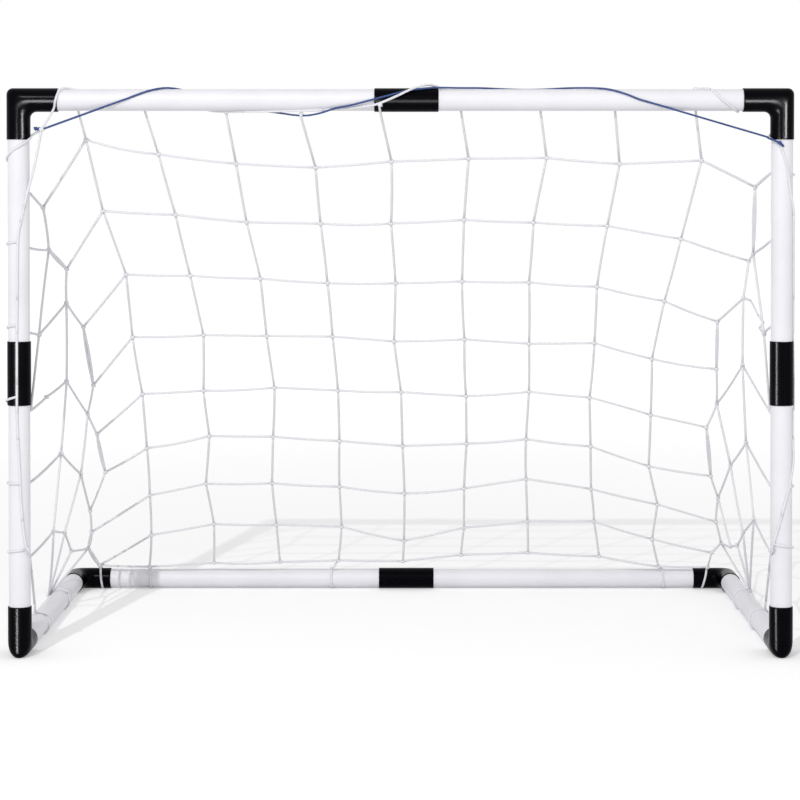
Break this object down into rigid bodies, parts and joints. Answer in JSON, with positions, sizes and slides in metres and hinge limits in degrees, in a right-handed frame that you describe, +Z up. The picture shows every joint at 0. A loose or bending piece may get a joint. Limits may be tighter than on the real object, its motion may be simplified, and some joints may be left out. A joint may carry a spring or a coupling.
{
  "type": "toy football goal",
  "caption": "Small knock-down toy football goal: white plastic tubes pushed into black elbows and couplers, with a square-mesh net on the back and sides laced to the crossbar",
  "frame": {"origin": "on the floor, under the middle of the goal's width and depth", "axes": "+X to the right as seen from the front, -Y out of the mouth, +Z up"},
  "size_m": [0.7829, 0.4552, 0.5683],
  "materials": {
    "tube": "satin white",
    "connector": "gloss black",
    "twine": "twisted white twine",
    "lacing": "blue cord"
  },
  "bodies": {
    "base": {"front_left_foot_elbow": "connector", "front_right_foot_elbow": "connector", "left_side_tube": "tube", "right_side_tube": "tube", "net_back": "twine", "net_left": "twine", "net_right": "twine", "left_side_net_loops": "twine", "right_side_net_loops": "twine"},
    "posts": {"left_post_upper_tube": "tube", "left_post_lower_tube": "tube", "left_post_coupler": "connector", "right_post_upper_tube": "tube", "right_post_lower_tube": "tube", "right_post_coupler": "connector", "left_post_net_loops": "twine", "right_post_net_loops": "twine"},
    "crossbar": {"crossbar_left_tube": "tube", "crossbar_right_tube": "tube", "crossbar_coupler": "connector", "top_left_elbow": "connector", "top_right_elbow": "connector", "net_head_rope": "twine", "lacing_cord": "lacing"},
    "rear_frame": {"rear_left_elbow": "connector", "rear_right_elbow": "connector", "rear_bar_left_tube": "tube", "rear_bar_right_tube": "tube", "rear_bar_coupler": "connector", "rear_bar_net_loops": "twine"}
  },
  "joints": [
    {"name": "posts_lift", "type": "slide", "parent": "base", "child": "posts", "axis": [0, 0, 1], "range_m": [0, 0.03]},
    {"name": "crossbar_lift", "type": "slide", "parent": "posts", "child": "crossbar", "axis": [0, 0, 1], "range_m": [0, 0.03]},
    {"name": "rear_frame_pull", "type": "slide", "parent": "base", "child": "rear_frame", "axis": [0, 1, 0], "range_m": [0, 0.03]}
  ]
}
